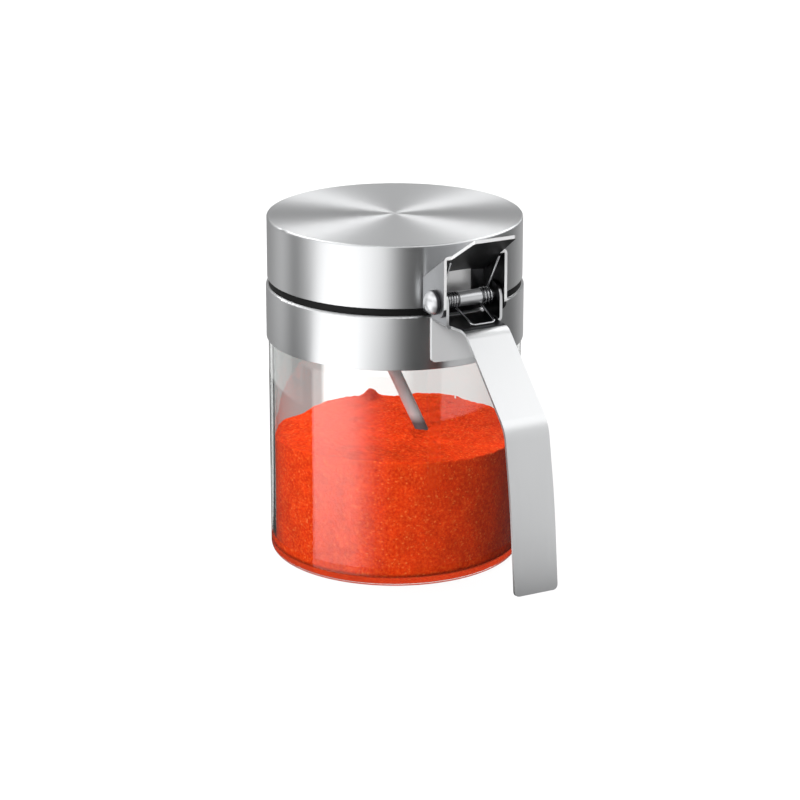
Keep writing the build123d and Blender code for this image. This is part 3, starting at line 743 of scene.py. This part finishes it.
# %% The glass
ripple_width = 14 * MM
wall_half = 0.7 * MM
floor_middle = 1.2 * MM
powder_line = 6 * MM
jar_glass, tree, out = start_material("Soda_lime_glass")
place = add(tree, "TexCoord").outputs["Object"]
ripple = add(tree, "TexNoise", {"Vector": place, "Scale": 1 / ripple_width, "Detail": 1})
bumps = add(tree, "Bump", {"Height": ripple.outputs[0], "Strength": 0.03, "Distance": 0.2 * MM})
glass = add(
    tree,
    "BsdfPrincipled",
    {
        "Base Color": linear("F9FBFA"),
        "Roughness": 0,
        "IOR": 1.5,
        "Transmission Weight": 1,
        "Normal": bumps.outputs[0],
    },
)
rays = add(tree, "LightPath").outputs
lit = add(tree, "Math", {0: rays["Is Shadow Ray"], 1: rays["Is Diffuse Ray"]}, operation="MAXIMUM")
clear = add(tree, "BsdfTransparent", {"Color": linear("F4F6F5")})
either = add(tree, "MixShader", {0: lit.outputs[0], 1: glass.outputs[0], 2: clear.outputs[0]})
wall_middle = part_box("glass_jar")[1].x - wall_half
flat = add(tree, "VectorMath", {0: place, 1: (1, 1, 0)}, operation="MULTIPLY").outputs[0]
radius = add(tree, "VectorMath", {0: flat}, operation="LENGTH").outputs["Value"]
height = add(tree, "SeparateXYZ", {0: place}).outputs["Z"]
within = add(tree, "Math", {0: radius, 1: wall_middle}, operation="LESS_THAN")
above = add(tree, "Math", {0: height, 1: floor_middle}, operation="GREATER_THAN")
below = add(tree, "Math", {0: height, 1: powder_line}, operation="LESS_THAN")
pressed = add(tree, "Math", {0: within.outputs[0], 1: above.outputs[0]}, operation="MULTIPLY")
pressed = add(tree, "Math", {0: pressed.outputs[0], 1: below.outputs[0]}, operation="MULTIPLY")
wetted = add(tree, "MixShader", {0: pressed.outputs[0], 1: either.outputs[0], 2: clear.outputs[0]})
tree.links.new(wetted.outputs[0], out.inputs["Surface"])
finish_nodes(jar_glass, "glass_jar")

# %% [markdown]
# ## Ground spice
# The powder is ground chilli: an orange-red meal with darker skins and pale seed dust in it. Where it lies
# against the glass it is pressed flat, and its free top keeps every lump. Loose meal could be thousands of
# grains, but a heap is seen as one surface, so the body is one spun profile whose top points are then moved
# up and down.

# %% How high the powder lies
spice_low, spice_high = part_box("spice_fill")
spice_radius = spice_high.x
spice_floor = spice_low.z
headroom = 0.1 * MM
# These are in millimetres: the level, how far it rises to the front and falls to the right, and its crown
base_level, front_rise, right_fall, crown = 38.7, 2.3, 1.0, 1.2
front_power = 1.5
hills = [
    (-8.2, -33, 3.3, 2.7), (15, -34, 1.1, 8), (1, -37, -1.2, 5), (-31, -21, -1.9, 9), (8.3, 4.5, 1.1, 9),
    (-14, 8, 0.5, 9), (22, -12, 0.4, 7), (31, -20, 1.0, 9),
]
lumps = [(9, 0.35), (3.5, 0.3), (1.4, 0.3)]


def spice_height(x, y):
    """The powder's height: a crown, hills by (right, front, rise, spread) and lumps by (width, rise)."""
    here = Vector((x, y, 0)) / MM
    front, right = here.dot(camera_side), here.dot(camera_right)
    reach = here.length * MM / spice_radius
    rise = max(front * MM / spice_radius, 0)
    level = base_level + front_rise * rise**front_power - right_fall * rise * right * MM / spice_radius
    level += crown * (1 - reach**2)
    for hill_right, hill_front, height, spread in hills:
        away = math.hypot(right - hill_right, front - hill_front)
        level += height * math.exp(-((away / spread) ** 2))
    level += sum(height * noise.noise(here / width) for width, height in lumps)
    return min(level * MM, spice_high.z - headroom)


print("powder in the middle", round(spice_height(0, 0) / MM, 2), "mm high")

# %% The spice's shape
heel = 1.8 * MM
heel_steps = 6
wall_top = 36 * MM
edge_drop = 0.5 * MM
edge_margin = 1.1
top_rows = 110
steps_round = 300
merge_reach = 0.001 * MM

profile = [(spice_radius, wall_top - edge_drop), (spice_radius, spice_floor + heel)]
for step in range(1, heel_steps + 1):
    turn = math.pi / 2 * step / heel_steps
    profile.append((spice_radius - heel + heel * math.cos(turn), spice_floor + heel - heel * math.sin(turn)))
profile.append((0, spice_floor))

bm = bmesh.new()
start = bm.verts.new((0, 0, wall_top))
corner = bmesh.ops.extrude_vert_indiv(bm, verts=[start])["verts"][0]
corner.co = (spice_radius, 0, wall_top)
bmesh.ops.subdivide_edges(bm, edges=bm.edges[:], cuts=top_rows)
rim = max(bm.verts, key=lambda v: v.co.x)
for reach, height in profile:
    rim = bmesh.ops.extrude_vert_indiv(bm, verts=[rim])["verts"][0]
    rim.co = (reach, 0, height)
everything = bm.verts[:] + bm.edges[:]
bmesh.ops.spin(
    bm, geom=everything, cent=(0, 0, 0), axis=(0, 0, 1), angle=math.tau, steps=steps_round, use_merge=True
)
bmesh.ops.remove_doubles(bm, verts=bm.verts, dist=merge_reach)
bmesh.ops.recalc_face_normals(bm, faces=bm.faces)
for point in bm.verts:
    below_top = wall_top - point.co.z
    if below_top < edge_drop * edge_margin:
        point.co.z = spice_height(point.co.x, point.co.y) - below_top
print("spice faces", len(bm.faces))
spice = object_from(bm, "ground_spice")
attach(spice, "jar")
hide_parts("spice_fill")

# %% [markdown]
# Ground chilli doesn't shine, and its colour is a mixture: darker skins, brighter flesh and pale seeds. The
# real grains are about a third of a millimetre across, which is a single pixel here, so the meal is drawn at
# 0.9 mm and the seeds at 0.5 mm. Wide, faint patches keep the wall from looking printed.

# %% The spice's colour and grain
meal_size = 0.9 * MM
patch_size = 6 * MM
seed_size = 0.5 * MM
meal_stops = [
    (0.28, linear("CC2A06")), (0.45, linear("E6380B")), (0.57, linear("F04612")), (0.74, linear("FF6A2C"))
]
patch_stops = [(0.35, linear("ECECEC")), (0.65, linear("FFFFFF"))]
chilli, tree, out = start_material("Ground_chilli")
place = add(tree, "TexCoord").outputs["Object"]
meal = add(tree, "TexNoise", {"Vector": place, "Scale": 1 / meal_size, "Detail": 4, "Roughness": 0.7})
patches = add(tree, "TexNoise", {"Vector": place, "Scale": 1 / patch_size, "Detail": 2})
grains = add(tree, "TexVoronoi", {"Vector": place, "Scale": 1 / seed_size})
body = add(tree, "ValToRGB", {0: meal.outputs[0]}, stops=meal_stops).outputs[0]
shade = add(tree, "ValToRGB", {0: patches.outputs[0]}, stops=patch_stops).outputs[0]
colour = add(tree, "Mix", {0: 1.0, 6: body, 7: shade}, data_type="RGBA", blend_type="MULTIPLY")
pick = add(tree, "SeparateColor", {0: grains.outputs["Color"]}).outputs[0]
seeds = add(tree, "MapRange", {"Value": pick, "From Min": 0.93, "From Max": 1, "To Max": 0.45})
seed_tone = {0: seeds.outputs[0], 6: colour.outputs[2], 7: linear("FF8A4A")}
colour = add(tree, "Mix", seed_tone, data_type="RGBA")
bumps = add(tree, "Bump", {"Height": meal.outputs[0], "Strength": 0.5, "Distance": 0.25 * MM})
powder = add(
    tree,
    "BsdfPrincipled",
    {
        "Base Color": colour.outputs[2],
        "Roughness": 0.9,
        "IOR": 1.35,
        "Specular IOR Level": 0.1,
        "Normal": bumps.outputs[0],
    },
)
tree.links.new(powder.outputs[0], out.inputs["Surface"])
spice.data.materials.append(chilli)
print(chilli.name, "on", spice.name)

# %% [markdown]
# In the photograph the powder glows red right down to the jar's foot, as if it stood on a light table. A
# brighter floor would do that too, but it would whiten the whole picture, so a small lamp under the powder
# shines up at it, and nothing else sees the lamp.

# %% A lamp under the jar's floor
under_inset = 1 * MM
under_height = 0.6 * MM
under_watts = 0.014
under = bpy.data.lights.new("under_floor_lamp", "AREA")
under.shape = "DISK"
under.size = 2 * (spice_radius - under_inset)
under.energy = under_watts
under_lamp = bpy.data.objects.new("under_floor_lamp", under)
under_lamp.location = (0, 0, under_height)
under_lamp.rotation_euler = (math.pi, 0, 0)
under_lamp.visible_camera = False
under_lamp.visible_glossy = False
under_lamp.visible_transmission = False
bpy.context.scene.collection.objects.link(under_lamp)
print(under_lamp.name, "is", round(under.size / MM, 1), "mm wide")

# %% [markdown]
# ## The spring
# One wire makes both coils, the loop that pushes on the tray and the two legs that push up on the web. Half
# of each coil stays with the collar and half goes with the lid, so the wire is cut at mid-coil, where the
# cut is hidden among the turns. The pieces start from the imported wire, merged and then cut by a plane.
# Drawn wire is smoother than sheet, so it is the sharpest mirror on the jar.

# %% The spring in two pieces
wire_cloud = 0.4 * MM
left_cut, right_cut, seam = -6.0 * MM, 6.6 * MM, 0.01 * MM
past_wire = 20 * MM
wire_merge_reach = 0.002 * MM
spring_steel, tree, out = start_material("Drawn_spring_wire")
place = add(tree, "TexCoord").outputs["Object"]
cloud = add(tree, "TexNoise", {"Vector": place, "Scale": 1 / wire_cloud, "Detail": 3})
grain = add(tree, "MapRange", {"Value": cloud.outputs[0], "To Min": 0.18, "To Max": 0.32}).outputs[0]
steel = add(tree, "BsdfPrincipled", {"Base Color": linear("C4C5C7"), "Metallic": 1, "Roughness": grain})
tree.links.new(steel.outputs[0], out.inputs["Surface"])


def wire_part(name, body, keeps):
    """A copy of the spring's wire, cut to the stretches between the given pairs of Y."""
    whole = bmesh.new()
    for low, high in keeps:
        bm = bmesh.new()
        bm.from_mesh(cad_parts["torsion_spring"].data)
        bmesh.ops.remove_doubles(bm, verts=bm.verts, dist=wire_merge_reach)
        for cut, way in ((low, -1), (high, 1)):
            everything = bm.verts[:] + bm.edges[:] + bm.faces[:]
            bmesh.ops.bisect_plane(
                bm, geom=everything, plane_co=(0, cut, 0), plane_no=(0, way, 0), clear_outer=True
            )
        bmesh.ops.holes_fill(bm, edges=[e for e in bm.edges if e.is_boundary])
        stretch = bpy.data.meshes.new("stretch")
        bm.to_mesh(stretch)
        bm.free()
        whole.from_mesh(stretch)
        bpy.data.meshes.remove(stretch)
    made = object_from(whole, name, spring_steel)
    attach(made, body)
    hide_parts("torsion_spring")
    return made


spring_loop = wire_part("spring_loop", "collar", [(left_cut, right_cut)])
arm_stretches = [(-past_wire, left_cut - seam), (right_cut + seam, past_wire)]
spring_arms = wire_part("spring_arms", "lid", arm_stretches)
print("spring faces", len(spring_loop.data.polygons), len(spring_arms.data.polygons))
